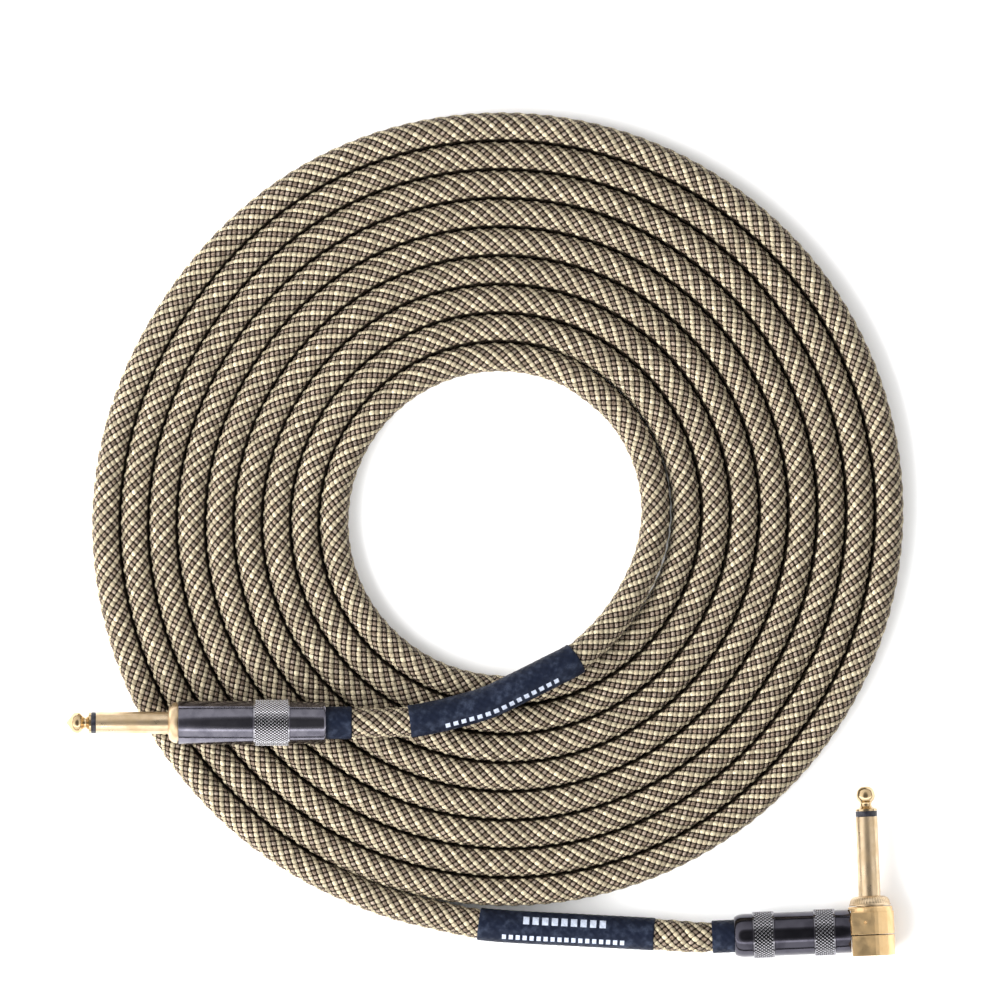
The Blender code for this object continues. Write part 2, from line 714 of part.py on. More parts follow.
def elbow_cap(pin_axis, shell_axis):
    """The lower half of the elbow: a cup pressed over the solder chamber."""
    top = BLOCK_SEAM - SEAM_LIP - GAP
    cap = bevelled(block("angle_cap", top, BLOCK_BOTTOM, 0, BLOCK_LEFT, pin_axis))
    hollow = block("angle_cap_hollow", 0, BLOCK_BOTTOM + CAP_FLOOR, BLOCK_WALL,
                   BLOCK_LEFT + BLOCK_WALL, pin_axis)
    boolean(cap, hollow, "DIFFERENCE")
    notch = rod("angle_cap_notch", NECK_BORE + GAP, 2 * BLOCK_WALL, -BEYOND, shell_axis, 28)
    boolean(cap, notch, "DIFFERENCE")
    finish(cap, GOLD)


def angle_pin(pin_axis):
    """The pin: tip, insulator, and a sleeve with a ridged cone and collar."""
    tip("angle_tip", BLUNT_NOSE, ANGLE_TIP, ANGLE_ROD_END, pin_axis)
    pin_top = tip_insulator("angle_tip_insulator", ANGLE_TIP, ANGLE_RING, SPIGOT_END, pin_axis)
    profile = pin_front(pin_top) + [(PIN_RADIUS, CONE_TOP), *CONE]
    profile += [(COLLAR_RADIUS, COLLAR_BASE), (SPIGOT_RADIUS, COLLAR_BASE)]
    profile += [(SPIGOT_RADIUS, SPIGOT_END), (PIN_BORE, SPIGOT_END), (PIN_BORE, pin_top)]
    finish(turned("angle_pin_sleeve", profile, pin_axis, 40), GOLD)
    washer = ring("angle_washer", TUBE_INNER, ANGLE_WASHER_RADIUS, *ANGLE_WASHER, pin_axis, 24)
    finish(washer, FIBRE)
    tip_lug("angle_tip_lug", ANGLE_LUG_RADIUS, ANGLE_LUG, ANGLE_TAB_END, pin_axis)


def angle_shell_profile():
    length, radius = ANGLE_SHELL, ANGLE_RADIUS
    profile = [(radius - SHELL_EDGE, 0), (radius, -SHELL_EDGE)]
    for front, rear in ANGLE_KNURLS:
        profile += [(radius, front + SHELL_EDGE), (ANGLE_KNURL_RADIUS, front)]
        profile += [(ANGLE_KNURL_RADIUS, rear), (radius, rear - SHELL_EDGE)]
    rounded = quarter_round(SHELL_REAR_HOLE + REAR_LIP, radius, -length, REAR_ROUNDING - length, 5)
    return profile + rounded[::-1]


def angle_plug():
    elbow = axis_empty("angle_elbow", None, ELBOW, (0, 0, ELBOW_TILT))
    quarter_turn = math.radians(90)
    pin_axis = axis_empty("angle_pin_axis", elbow, (0, 0, 0), (-quarter_turn, 0, 0))
    shell_axis = axis_empty("angle_shell_axis", elbow, (ELBOW_FACE, 0, 0), (0, quarter_turn, 0))
    angle_pin(pin_axis)
    elbow_body(pin_axis, shell_axis)
    elbow_cap(pin_axis, shell_axis)
    shell_and_liner("angle", angle_shell_profile(), ANGLE_SHELL, ANGLE_LINER_FRONT, shell_axis)
    boot("angle_boot", ANGLE_BOOT, shell_axis)
    ground_clamp("angle_ground_clamp", ANGLE_CLAMP, ANGLE_SADDLE, shell_axis)
    cable_end("angle", ANGLE_JACKET, ANGLE_CORD_END, ANGLE_CORE, ANGLE_DRAIN, shell_axis)
    core_wire("angle", ANGLE_WIRE, ANGLE_SOLDER, ANGLE_SOLDER_AT, shell_axis)


for old in list(bpy.data.objects):
    bpy.data.objects.remove(old)
PARTS = new_collection("instrument_cable")
CUTTERS = new_collection("cutters")
cable_coil()
leads()
straight_plug()
angle_plug()
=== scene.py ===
"""The look of a woven instrument cable: a flat coil with a straight jack plug on its inner end and
a right-angle jack plug on its outer end. Plug sizes are in millimetres until MM turns them into
metres; everything else is in metres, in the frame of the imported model."""
import json
import math

import bmesh
import bpy
import numpy as np
from mathutils import Matrix, Vector


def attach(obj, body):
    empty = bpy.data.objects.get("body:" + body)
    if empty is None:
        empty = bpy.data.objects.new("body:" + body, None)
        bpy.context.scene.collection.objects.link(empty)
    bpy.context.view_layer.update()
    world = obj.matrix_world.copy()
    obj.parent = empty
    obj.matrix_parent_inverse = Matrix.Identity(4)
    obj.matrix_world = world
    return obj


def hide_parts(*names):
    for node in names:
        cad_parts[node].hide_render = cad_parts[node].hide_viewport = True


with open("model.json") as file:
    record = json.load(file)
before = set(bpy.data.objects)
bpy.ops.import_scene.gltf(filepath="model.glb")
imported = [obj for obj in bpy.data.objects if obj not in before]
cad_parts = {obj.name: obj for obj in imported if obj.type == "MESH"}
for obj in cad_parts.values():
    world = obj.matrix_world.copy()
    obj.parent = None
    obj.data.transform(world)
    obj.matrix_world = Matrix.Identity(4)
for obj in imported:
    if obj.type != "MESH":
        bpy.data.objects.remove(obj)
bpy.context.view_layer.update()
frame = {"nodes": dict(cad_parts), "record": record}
JOINTS = {joint["name"]: joint for joint in frame["record"]["behaviour"]["joints"]}

MM = 0.001
CABLE = "cable"

# The cable's route: the coil's turns and the two leads' points in metres, and its ends inside the
# plugs, in millimetres behind each shell's front face
CORD_RADIUS = 0.0041
COIL_CENTRE = (0.00345, 0.00532)
TURN_PITCH = 0.00832
INNER_TURN_RADIUS = 0.046
TURNS_ACROSS = 8
PRESSED_IN = 0.008
DENT_DEPTH = 0.00016
DENT_ANGLE = math.radians(213)
DENT_SPREAD = math.radians(22)
STEP_SINES = (0.025, 0.02)
STEP_COSINES = (-0.1965, -0.039)
COIL_OUTER_END = math.radians(112 - 360)
COIL_INNER_END = math.radians(7 * 360 + 296)
COIL_STEP = math.radians(5)
SPAN_STEPS = 24
INNER_ROUTE = [
    (0.03065, 0.0425, 0.0041),
    (0.0343, 0.0396, 0.00412),
    (0.0378, 0.03625, 0.0042),
    (0.0442, 0.0270, 0.0046),
    (0.0480, 0.01645, 0.0052),
    (0.0490, 0.0053, 0.00595),
    (0.0471, -0.0056, 0.0068),
    (0.0426, -0.0160, 0.0080),
    (0.0353, -0.0266, 0.0098),
    (0.0308, -0.0312, 0.0110),
    (0.02615, -0.0352, 0.0121),
    (0.0184, -0.0393, 0.0130),
    (0.01005, -0.0435, 0.0133),
    (0.00055, -0.0480, 0.0133),
    (-0.0072, -0.0503, 0.0133),
    (-0.01465, -0.05215, 0.01335),
    (-0.0222, -0.0534, 0.0135),
    (-0.0286, -0.0537, 0.0143),
]
OUTER_ROUTE = [
    (-0.0267, -0.1059, 0.0041),
    (-0.0141, -0.1091, 0.0043),
    (-0.0017, -0.1116, 0.0048),
    (0.0109, -0.1126, 0.00485),
    (0.0236, -0.11325, 0.0049),
    (0.0362, -0.1139, 0.0050),
    (0.0489, -0.1146, 0.00525),
    (0.0570, -0.1152, 0.0061),
]
STRAIGHT_LEAD = (-41.0, -46.0, -50.2, -53.0)
ANGLE_LEAD = (-43.2, -40.4, -36.2, -32.2)

# The braid: yarns each way round the cord, their spacing along it, how far the yarns' crossings
# stand out and the cells' corners sink in, and a swelling before the right-angle plug
YARNS = 12
YARN_SPACING = 0.002205
CROWN = 0.00024
LOW_CROWN = 0.00002
HOLLOW = 0.00030
SWELL = 0.0003
SWELL_AT = -0.020
SWELL_SPREAD = 0.008

# Shrunk-on sleeves: the labels' ends are points of the routes, counted from 0; the boots' ends are
# in millimetres behind a shell's front face
SLEEVE_INNER = 0.00428
SLEEVE_OUTER = 0.0047
SLEEVE_LIP = (0.0, 0.00004, 0.0001, 0.00018, 0.0003)
SLEEVE_SIDES = 48
SLEEVE_RELIEF = 0.000015
INNER_LABEL = (16, 10)
OUTER_LABEL = (2, 6)
STRAIGHT_BOOT = (-38.5, -49.5)
ANGLE_BOOT = (-30.5, -39.7)

# Rows of plain dashes on the label sleeves: each row's start and end along the sleeve, its middle
# and half width in turns round it, the dashes' number and how much of each step a dash fills; and
# how softly the ink ends at a row's sides, at its two ends and at each dash's end
INNER_DASHES = [(0.19, 0.87, 0.5 + 43 / 360, 0.028, 15, 0.62)]
OUTER_DASHES = [(0.25, 0.74, 0.5 - 27 / 360, 0.043, 9, 0.68),
                (0.135, 0.845, 0.5 + 40 / 360, 0.030, 18, 0.62)]
ROW_SOFTNESS = 0.93
REACH_SOFTNESS = 0.003
DASH_SOFTNESS = 0.06

# Both plugs, in millimetres. Heights are towards the tip, from the shell's front face, or on the
# right-angle plug's pin from the elbow's middle. Edges that turn more than SHARP degrees are crisp.
GAP = 0.3
PIN_RADIUS = 3.175
PIN_BORE = 2.4
PIN_EDGE = 0.15
ROD_RADIUS = 1.1
TIP_LENGTH = 6.9
TIP_EDGE = 0.3
CLOSER = 0.24
THREAD_RADIUS = 5.3
THREAD_CHAMFER = 0.3
BOSS_RADIUS = 3.2
SHELL_BORE = 5.7
SHELL_EDGE = 0.2
SHELL_REAR_HOLE = 4.95
SHELL_REAR_WALL = 2.0
PIN_EDGE_BULGE = 0.04
SHELL_EDGE_BULGE = 0.06
SHARP = 28

# Knurls: the radius above which a shell's surface is knurled, rows to a pyramid, how steep the
# pyramids are, and the plain rims beside the bands
KNURL_MIN = 6.5
KNURL_ROWS = 8
KNURL_SLOPE = 2.2
RIM = 0.35
RIM_EDGE = 0.02
RIM_WEAR = 0.45

# The tips, from the nose back: (radius, depth)
SHARP_NOSE = [(0, 0), (0.22, 0.05), (0.4, 0.18), (1.07, 0.72), (1.8, 1.22), (2.4, 1.7),
              (2.64, 1.92), (2.82, 2.17), (2.94, 2.42), (3.02, 2.7), (3.07, 3.0), (3.08, 3.25),
              (3.05, 3.55), (2.96, 3.85), (2.7, 4.17), (2.32, 4.55), (2.02, 4.8), (1.8, 5.02),
              (1.69, 5.2), (1.66, 5.4), (1.7, 5.62), (1.82, 5.82), (2.12, 6.02), (2.5, 6.2),
              (2.85, 6.35), (3.05, 6.5)]
BLUNT_NOSE = [(0, 0), (0.35, 0.01), (0.7, 0.04), (1.0, 0.1), (1.25, 0.19), (1.6, 0.38),
              (1.9, 0.62), (2.15, 0.88), (2.35, 1.15), (2.5, 1.5), (2.6, 1.9), (2.7, 2.3),
              (2.75, 2.7), (2.75, 3.0), (2.7, 3.3), (2.6, 3.62), (2.4, 4.0), (2.1, 4.34),
              (1.85, 4.6), (1.7, 4.9), (1.65, 5.2), (1.67, 5.5), (1.75, 5.8), (1.95, 6.0),
              (2.3, 6.2), (2.65, 6.35), (3.0, 6.5)]
NOSE_SIDES = 64

# The straight plug. Its shell narrows behind the knurl: (radius, distance from the rear end)
STRAIGHT_TIP = 32.2
STRAIGHT_RING = 1.3
STRAIGHT_ROD_END = -9.4
STRAIGHT_THREAD_END = -5.5
STRAIGHT_BOSS_END = -7.0
DOME_TOP = 2.85
DOME_NECK = 3.7
DOME_RADIUS = 5.95
DOME_STEPS = 14
BODY_SIDES = 96
STRAIGHT_SHELL = 42.3
STRAIGHT_RADIUS = 6.28
BEHIND_KNURL = 6.1
STRAIGHT_REAR = ((6.0, 0.6), (5.93, 0.25), (5.75, 0.0))
STRAIGHT_KNURL = (-21.6, -31.9)
STRAIGHT_KNURL_RADIUS = 6.6
STRAIGHT_PYRAMIDS = 46
STRAIGHT_PITCH = 1.12
STRAIGHT_DEPTH = 0.3
STRAIGHT_WEAR = 0.85

# The right-angle plug
ELBOW_TO_FACE = 5.8
ANGLE_TIP = 41.5
ANGLE_RING = 1.5
ANGLE_ROD_END = 1.0
CONE_TOP = 9.87
CONE_NECK = 3.75
CONE_BASE = (5.75, 7.85)
CONE_STEPS = 10
COLLAR_RADIUS = 5.95
COLLAR_TOP = 7.6
COLLAR_BASE = 7.2
SPIGOT_RADIUS = 3.9
SPIGOT_END = 3.9
RIDGES = 44
RIDGE_DEPTH = 0.09
RIDGED = (7.8, 9.8)
RIDGE_MIN = 3.8
ANGLE_SHELL_LENGTH = 33.46
ANGLE_RADIUS = 6.25
REAR_ROUNDING = 3.2
REAR_LIP = 0.15
REAR_STEPS = 12
ANGLE_KNURLS = ((-4.56, -10.56), (-22.06, -28.1))
ANGLE_KNURL_RADIUS = 6.7
ANGLE_PYRAMIDS = 40
ANGLE_PITCH = 1.2
ANGLE_DEPTH = 0.32
ANGLE_WEAR = 0.42

# Weave: the yarns' plain colours where they pass over and under, each with a lighter copy that is
# painted sheen; the under ones are a darker copy on cream and a lighter one on brown, painted light
# for the other yarn direction; the painted shade in the seams between them, in the corner holes and
# where turns touch
CREAM, CREAM_PAINTED_SHEEN = (0.37, 0.315, 0.21), (0.59, 0.52, 0.37)
CREAM_UNDER, CREAM_UNDER_PAINTED_SHEEN = (0.27, 0.222, 0.145), (0.48, 0.41, 0.295)
BROWN, BROWN_PAINTED_SHEEN = (0.088, 0.061, 0.041), (0.335, 0.258, 0.20)
BROWN_UNDER, BROWN_UNDER_PAINTED_SHEEN = (0.16, 0.122, 0.093), (0.40, 0.325, 0.262)
# painted shade for the seams between yarns
SEAM_SHADE = (0.030, 0.020, 0.013)
# painted shade, near black, in the cells' corner holes and where turns touch
CREVICE_SHADE = (0.004, 0.0018, 0.0006)
YARN_SEED = 17.3
CROSSING_SEED = 41.0
STRANDS = 7.0
STREAK_RUN = 1.6
STREAK_PAINTED_SHEEN = (0.38, 0.66)
STITCH_TONE = (0.68, 1.18)
BROWN_NARROWER = 0.12
SIDE_SEAM = (0.34, 0.52)
END_SEAM = (0.38, 0.54)
CORNER_HOLE = (0.66, 0.88)
STITCH_RELIEF = 0.00060

# Painted shade where turns touch, as a share of a turn round the cord from its top, how soon that
# starts along the cord, how dark it is, and the inner route's point where the lead has left the
# coil
CREASE = (0.158, 0.190)
CREASE_FADE = 0.002
CREASE_SHADE = 0.97
LEAVES_COIL = 6

# Other colours, and how fine the sleeves' and the metals' clouds and grain are
SHRINK, SHRINK_WORN = (0.006, 0.0085, 0.018), (0.026, 0.033, 0.054)
PRINT = (0.40, 0.44, 0.53)
# painted shade for the knurls' grooves and, faintly, between the cone's ridges
GROOVE_SHADE = (0.006, 0.006, 0.007)
CREST = (0.80, 0.79, 0.83)
FLOOR = (0.97, 0.97, 0.97)
TUBE_CLOUD, TUBE_GRAIN = 420.0, 2600.0
METAL_CLOUD, METAL_GRAIN = 260.0, 2400.0

# Light: the sky's level at each height, its lean and its bright strip, and the soft key light
SKY_LEVELS = ((0.0, 0.02), (0.11, 0.05), (0.19, 0.85), (0.28, 1.0), (0.78, 1.0), (0.89, 0.24),
              (0.95, 0.12), (1.0, 0.14))
SKY_STRENGTH = 1.42
SKY_LEAN = (-0.26, -0.25, 0.0)
STRIP_AXIS = (0.0, 0.766, 0.643)
STRIP_EDGE = (0.12, 0.04)
STRIP_GAIN = 1.4
KEY_AZIMUTH = math.radians(200)
KEY_ELEVATION = math.radians(33)
KEY_DISTANCE = 1.6
KEY_SIZE = (2.2, 1.5)
KEY_POWER = 80

# Camera: it looks straight down at the middle of the view
VIEW_CENTRE = (0.00431, 0.0102)
VIEW_WIDTH = 0.2874
VIEW_HEIGHT = CORD_RADIUS
LENS = 1000
SENSOR = 36
CLIP_END = 20
FLOOR_HALF = 3.0


# ---------------------------------------------------------------- camera

def camera():
    data = bpy.data.cameras.new("camera")
    data.lens = LENS
    data.sensor_width = SENSOR
    data.clip_end = CLIP_END
    view = bpy.data.objects.new("camera", data)
    view.location = (*VIEW_CENTRE, VIEW_HEIGHT + VIEW_WIDTH * LENS / SENSOR)
    bpy.context.scene.collection.objects.link(view)
    bpy.context.scene.camera = view


# ---------------------------------------------------------------- places on the plugs

def axes(joint_name):
    """The shell's front face and the direction in which the shell slides back."""
    joint = JOINTS[joint_name]
    return Vector(joint["pos_m"]), Vector(joint["axis"]).normalized()


def plug_frame(origin, towards_tip):
    """A matrix from a plug's own millimetres, +Z towards the tip, to the world."""
    z = towards_tip
    x = Vector((0, 0, 1))
    turn = Matrix((x, z.cross(x), z)).transposed().to_4x4()
    return Matrix.Translation(origin) @ turn @ Matrix.Diagonal((MM, MM, MM, 1))


STRAIGHT_FACE, STRAIGHT_BACK = axes("straight_shell_turn")
ANGLE_FACE, ANGLE_BACK = axes("angle_shell_turn")
PIN_UP = Vector((ANGLE_BACK.y, -ANGLE_BACK.x, 0))
STRAIGHT = plug_frame(STRAIGHT_FACE, -STRAIGHT_BACK)
ANGLE_SHELL = plug_frame(ANGLE_FACE, -ANGLE_BACK)
ANGLE_PIN = plug_frame(ANGLE_FACE - ELBOW_TO_FACE * MM * ANGLE_BACK, PIN_UP)


# ---------------------------------------------------------------- the cord's centre line

def inward_steps(angle):
    """How many pitches the spiral has stepped in: it steps mostly through its lower half."""
    steps = angle / (2 * math.pi)
    for times, (sine, cosine) in enumerate(zip(STEP_SINES, STEP_COSINES), start=1):
        steps += sine * math.sin(times * angle) + cosine * (math.cos(times * angle) - 1)
    return steps


def coil_point(angle):
    """The cord's centre at this angle, clockwise from +X seen from above."""
    off_dent = math.remainder(angle - DENT_ANGLE, 2 * math.pi)
    dent = DENT_DEPTH * math.exp(-((off_dent / DENT_SPREAD) ** 2))
    pitch = TURN_PITCH * (1 - PRESSED_IN * (1 - math.cos(angle))) - dent
    radius = INNER_TURN_RADIUS + pitch * (TURNS_ACROSS - inward_steps(angle))
    x = COIL_CENTRE[0] + radius * math.cos(angle)
    return (x, COIL_CENTRE[1] - radius * math.sin(angle), CORD_RADIUS)


def route():
    """The whole cord's points, from inside the straight plug to inside the right-angle plug."""
    points = [tuple(STRAIGHT @ Vector((0, 0, z))) for z in STRAIGHT_LEAD]
    points += INNER_ROUTE[::-1]
    steps = round((COIL_INNER_END - COIL_OUTER_END) / COIL_STEP)
    angles = np.linspace(COIL_INNER_END, COIL_OUTER_END, steps + 1)
    points += [coil_point(angle) for angle in angles]
    points += OUTER_ROUTE
    points += [tuple(ANGLE_SHELL @ Vector((0, 0, z))) for z in ANGLE_LEAD]
    return np.array(points)


def smooth(points, step):
    """Evenly spaced points, about a step apart, along a smooth curve through the given points."""
    chords = np.linalg.norm(np.diff(points, axis=0), axis=1)
    slopes = np.diff(points, axis=0) / chords[:, None]
    inner = (slopes[:-1] * chords[1:, None] + slopes[1:] * chords[:-1, None])
    inner /= (chords[:-1] + chords[1:])[:, None]
    tangents = np.vstack([slopes[:1], inner, slopes[-1:]])
    fine = []
    for t in np.linspace(0, 1, SPAN_STEPS, endpoint=False):
        fine.append(points[:-1] * (2 * t**3 - 3 * t**2 + 1)
                    + tangents[:-1] * chords[:, None] * (t**3 - 2 * t**2 + t)
                    + points[1:] * (3 * t**2 - 2 * t**3)
                    + tangents[1:] * chords[:, None] * (t**3 - t**2))
    curve = np.stack(fine, axis=1).reshape(-1, 3)
    curve = np.vstack([curve, points[-1:]])
    run = np.concatenate([[0], np.cumsum(np.linalg.norm(np.diff(curve, axis=0), axis=1))])
    even = np.linspace(0, run[-1], round(run[-1] / step) + 1)
    return np.column_stack([np.interp(even, run, curve[:, i]) for i in range(3)]), run[-1]


def side_vectors(path):
    """Two directions square to the path at each point, carried along it without twist."""
    tangents = np.gradient(path, axis=0)
    tangents /= np.linalg.norm(tangents, axis=1)[:, None]
    up = np.array([0.0, 0.0, 1.0])
    normals = []
    for tangent in tangents:
        up = up - tangent * up.dot(tangent)
        up = up / np.linalg.norm(up)
        normals.append(up)
    normals = np.array(normals)
    return normals, np.cross(tangents, normals)


# ---------------------------------------------------------------- meshes

def new_object(name, mesh):
    obj = bpy.data.objects.new(name, mesh)
    bpy.context.scene.collection.objects.link(obj)
    return obj


def tube_mesh(name, path, radii, sides, braid_run):
    """A tube round the path; radii is one row a ring, one figure a side. The braid run is each
    ring's place along the braid. Quads are split so that every yarn crossing is a crest."""
    normals, binormals = side_vectors(path)
    rings = len(path)
    turn = 2 * math.pi * (np.arange(sides) - sides / 2) / sides
    offset = (np.cos(turn)[None, :, None] * normals[:, None, :]
              + np.sin(turn)[None, :, None] * binormals[:, None, :])
    vertices = (path[:, None, :] + offset * radii[:, :, None]).reshape(-1, 3)
    k, m = np.meshgrid(np.arange(rings - 1), np.arange(sides), indexing="ij")
    k, m = k.ravel(), m.ravel()
    even = (k + m) % 2 == 0
    corners = np.array([[0, 0], [1, 0], [1, 1], [0, 1]])
    first = np.where(even[:, None], [[0, 3, 2]], [[0, 3, 1]])
    second = np.where(even[:, None], [[0, 2, 1]], [[1, 3, 2]])
    picked = corners[np.concatenate([first, second])]
    ring = np.concatenate([k, k])[:, None] + picked[:, :, 0]
    side = np.concatenate([m, m])[:, None] + picked[:, :, 1]
    faces = ring * sides + side % sides
    mesh = bpy.data.meshes.new(name)
    mesh.from_pydata(vertices.tolist(), [], faces.tolist())
    along, around = braid_run[ring], side * (2 * YARNS / sides)
    share = (braid_run - braid_run[0]) / (braid_run[-1] - braid_run[0])
    add_uv(mesh, "weave", (along - around) / 2, (along + around) / 2)
    add_uv(mesh, "place", share[ring], side / sides)
    mesh.shade_smooth()
    return mesh


def add_uv(mesh, name, u, v):
    layer = mesh.uv_layers.new(name=name)
    layer.data.foreach_set("uv", np.stack([u, v], axis=-1).astype(np.float32).reshape(-1))


def turned_mesh(name, profile, sides, matrix, relief=None, hollow=True):
    """A profile of (radius, height) turned about Z; a hollow one joins back to its start. The
    relief gives how far each point stands out and how bright it is worn, from the profile, its
    height and its share of a turn."""
    profile = np.array(profile, dtype=float)
    share = np.arange(sides) / sides
    radii = np.repeat(profile[:, :1], sides, axis=1)
    heights = np.repeat(profile[:, 1:], sides, axis=1)
    crest = lift = np.zeros_like(radii)
    if relief:
        lift, crest = relief(profile, heights, share[None, :])
    radii = radii + lift
    x = radii * np.cos(2 * math.pi * share)
    y = radii * np.sin(2 * math.pi * share)
    vertices = np.stack([x, y, heights], axis=-1).reshape(-1, 3)
    count = len(profile)
    i, m = np.meshgrid(np.arange(count if hollow else count - 1), np.arange(sides), indexing="ij")
    i, m = i.ravel(), m.ravel()
    j, n = (i + 1) % count, (m + 1) % sides
    faces = np.stack([i * sides + m, j * sides + m, j * sides + n, i * sides + n], axis=-1)
    mesh = bpy.data.meshes.new(name)
    mesh.from_pydata(vertices.tolist(), [], faces.tolist())
    for attribute, values in (("depth", -lift), ("crest", crest)):
        layer = mesh.attributes.new(attribute, "FLOAT", "POINT")
        layer.data.foreach_set("value", values.astype(np.float32).reshape(-1))
    work = bmesh.new()
    work.from_mesh(mesh)
    bmesh.ops.remove_doubles(work, verts=work.verts, dist=1e-5)
    work.to_mesh(mesh)
    work.free()
    mesh.transform(matrix)
    mesh.shade_smooth()
    mesh.set_sharp_from_angle(angle=math.radians(SHARP))
    return mesh


def bow(start, end, bulge, steps):
    """Points from start to end of a profile along a quarter ellipse, fullest at the bulge."""
    angles = [math.pi / 2 * i / steps for i in range(1, steps + 1)]
    if bulge == "start":
        return [(start[0] + (end[0] - start[0]) * math.sin(a),
                 end[1] + (start[1] - end[1]) * math.cos(a)) for a in angles]
    return [(end[0] + (start[0] - end[0]) * math.cos(a),
             start[1] + (end[1] - start[1]) * math.sin(a)) for a in angles]


def wave(x):
    """A saw-tooth between 0 at whole numbers and 1 halfway between them."""
    return 1 - 2 * np.abs(x - np.floor(x) - 0.5)


# ---------------------------------------------------------------- shaders

class Nodes:
    """A node tree, with short calls for the nodes that the patterns are made of."""

    def __init__(self, tree):
        self.tree = tree

    def feed(self, socket, value):
        if isinstance(value, bpy.types.NodeSocket):
            self.tree.links.new(value, socket)
        else:
            socket.default_value = value

    def math(self, operation, *values):
        node = self.tree.nodes.new("ShaderNodeMath")
        node.operation = operation
        for socket, value in zip(node.inputs, values):
            self.feed(socket, value)
        return node.outputs[0]

    def ramp(self, value, low, high, start=0.0, end=1.0):
        """From start to end, smoothly, as the value goes from low to high."""
        node = self.tree.nodes.new("ShaderNodeMapRange")
        node.interpolation_type = "SMOOTHSTEP"
        for socket, figure in zip(node.inputs, (value, low, high, start, end)):
            self.feed(socket, figure)
        return node.outputs[0]

    def vector(self, x, y, z=0.0):
        node = self.tree.nodes.new("ShaderNodeCombineXYZ")
        for socket, value in zip(node.inputs, (x, y, z)):
            self.feed(socket, value)
        return node.outputs[0]

    def parts(self, vector):
        node = self.tree.nodes.new("ShaderNodeSeparateXYZ")
        self.tree.links.new(vector, node.inputs[0])
        return node.outputs

    def dot(self, vector, axis):
        node = self.tree.nodes.new("ShaderNodeVectorMath")
        node.operation = "DOT_PRODUCT"
        self.feed(node.inputs[0], vector)
        self.feed(node.inputs[1], axis)
        return node.outputs["Value"]


class Shader(Nodes):
    """A material and its Principled surface."""

    def __init__(self, name, colour, roughness, metallic=0.0):
        self.material = bpy.data.materials.new(name)
        self.material.use_nodes = True
        super().__init__(self.material.node_tree)
        self.surface = self.tree.nodes["Principled BSDF"]
        self.set("Base Color", (*colour, 1.0))
        self.set("Roughness", roughness)
        self.set("Metallic", metallic)

    def set(self, socket, value):
        self.surface.inputs[socket].default_value = value

    def drive(self, socket, output):
        self.tree.links.new(output, self.surface.inputs[socket])

    def uv(self, name):
        node = self.tree.nodes.new("ShaderNodeUVMap")
        node.uv_map = name
        return node.outputs[0]

    def attribute(self, name):
        node = self.tree.nodes.new("ShaderNodeAttribute")
        node.attribute_name = name
        return node.outputs["Fac"]

    def place(self, scale=(1.0, 1.0, 1.0)):
        """The point itself, in metres, stretched by the scale."""
        place = self.tree.nodes.new("ShaderNodeTexCoord").outputs["Object"]
        node = self.tree.nodes.new("ShaderNodeMapping")
        self.tree.links.new(place, node.inputs["Vector"])
        node.inputs["Scale"].default_value = scale
        return node.outputs[0]

    def noise(self, vector, scale, detail=2.0):
        node = self.tree.nodes.new("ShaderNodeTexNoise")
        self.feed(node.inputs["Vector"], vector)
        node.inputs["Scale"].default_value = scale
        node.inputs["Detail"].default_value = detail
        return node.outputs[0]

    def blend(self, factor, first, second, mode="MIX"):
        node = self.tree.nodes.new("ShaderNodeMix")
        node.data_type = "RGBA"
        node.blend_type = mode
        for socket, value in zip((node.inputs[0], node.inputs[6], node.inputs[7]),
                                 (factor, first, second)):
            self.feed(socket, (*value, 1.0) if isinstance(value, tuple) else value)
        return node.outputs[2]

    def bump(self, height, distance):
        """Relief of this many metres from height 0 to height 1."""
        node = self.tree.nodes.new("ShaderNodeBump")
        node.inputs["Distance"].default_value = distance
        self.tree.links.new(height, node.inputs["Height"])
        self.tree.links.new(node.outputs[0], self.surface.inputs["Normal"])


def choose(shader, factor, first, second):
    """The first figure where the factor is 0, and the second where it is 1."""
    span = shader.math("SUBTRACT", second, first)
    return shader.math("MULTIPLY_ADD", span, factor, first)


def coil_shares(path):
    """Shares of the cord's length where the inner lead leaves the coil, one turn on from the
    coil's inner end, one turn before its outer end, and at its outer end."""
    turn = 2 * math.pi
    angles = (COIL_INNER_END - turn, COIL_OUTER_END + turn, COIL_OUTER_END)
    ends = [INNER_ROUTE[LEAVES_COIL]] + [coil_point(angle) for angle in angles]
    return [run_at(path, end) / run_at(path, path[-1]) for end in ends]


def painted_crease_shade(shader, shares):
    """Painted shade where a turn is pressed against its neighbours: on its outer side on all but
    the outermost turn, on its inner side on all but the innermost."""
    along, around, _ = shader.parts(shader.uv("place"))
    inner_end, second_turn, last_turn, outer_end = shares
    sides = []
    for sign, start, end in ((1, inner_end, last_turn), (-1, second_turn, outer_end)):
        lean = shader.math("MULTIPLY", shader.math("SUBTRACT", around, 0.5), sign)
        side = shader.ramp(lean, *CREASE)
        reach = shader.math("MULTIPLY", shader.ramp(along, start, start + CREASE_FADE),
                            shader.ramp(along, end, end - CREASE_FADE))
        sides.append(shader.math("MULTIPLY", side, reach))
    return shader.math("MULTIPLY", shader.math("MAXIMUM", *sides), CREASE_SHADE)


